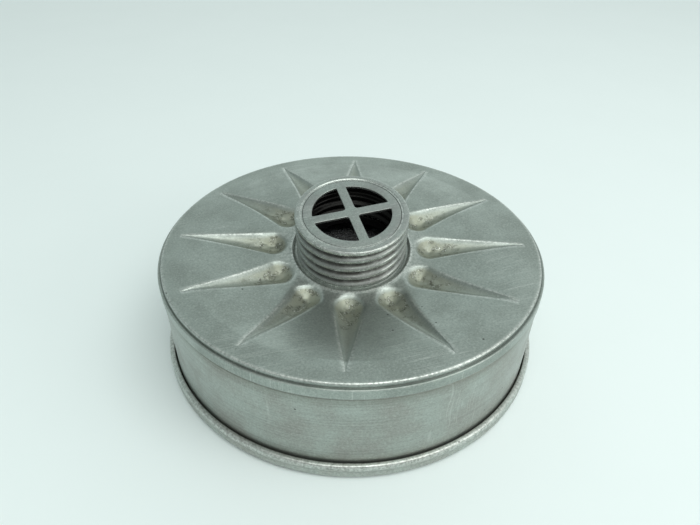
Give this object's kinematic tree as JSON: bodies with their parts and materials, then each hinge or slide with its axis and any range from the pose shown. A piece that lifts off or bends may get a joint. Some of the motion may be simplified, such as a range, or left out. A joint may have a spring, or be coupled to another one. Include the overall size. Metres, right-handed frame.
{
  "type": "filter canister",
  "caption": "Drum-shaped breathing filter canister with a star-fluted lid, a leaning round-thread neck, a cross grille and a rolled bottom flange.",
  "frame": {"origin": "centre of the bottom rim, on the plane that the canister rests on", "axes": "+Z along the drum's axis, out of its lid; the arms of both grilles run along X and Y, and the neck leans 9.8 degrees towards 107.6 degrees clockwise from +X"},
  "size_m": [0.1412, 0.1412, 0.0581],
  "materials": {
    "drum_aluminium": "aged bare aluminium, satin, with dirt in the flutes and fine scratches",
    "neck_aluminium": "worn bare aluminium, brighter on the thread crests",
    "dark_mesh": "blackened perforated sheet",
    "tinned_plate": "tinned sheet",
    "spring_steel": "bare spring steel",
    "filter_felt": "pressed filter felt",
    "cotton_gauze": "woven cotton gauze",
    "charcoal": "granular activated charcoal",
    "sealing_compound": "dark seam sealing compound"
  },
  "bodies": {
    "root": {"lid": "drum_aluminium", "threaded_neck": "neck_aluminium", "neck_gasket": "sealing_compound", "neck_grille": "neck_aluminium", "inlet_grille": "drum_aluminium", "body_shell": "drum_aluminium", "base_plate": "drum_aluminium", "base_seam_gasket": "sealing_compound", "lid_seam_gasket": "sealing_compound", "inlet_spreader": "drum_aluminium", "pad_support_plate": "tinned_plate", "particulate_pad_1": "filter_felt", "particulate_pad_2": "filter_felt", "particulate_pad_3": "filter_felt", "pad_spacer_ring_1": "tinned_plate", "pad_spacer_ring_2": "tinned_plate", "pad_clamp_ring": "tinned_plate", "lower_perforated_plate": "tinned_plate", "lower_gauze": "cotton_gauze", "charcoal_bed": "charcoal", "bed_edge_seal": "filter_felt", "upper_gauze": "cotton_gauze", "upper_perforated_plate": "dark_mesh", "bed_wave_spring": "spring_steel"}
  },
  "joints": []
}
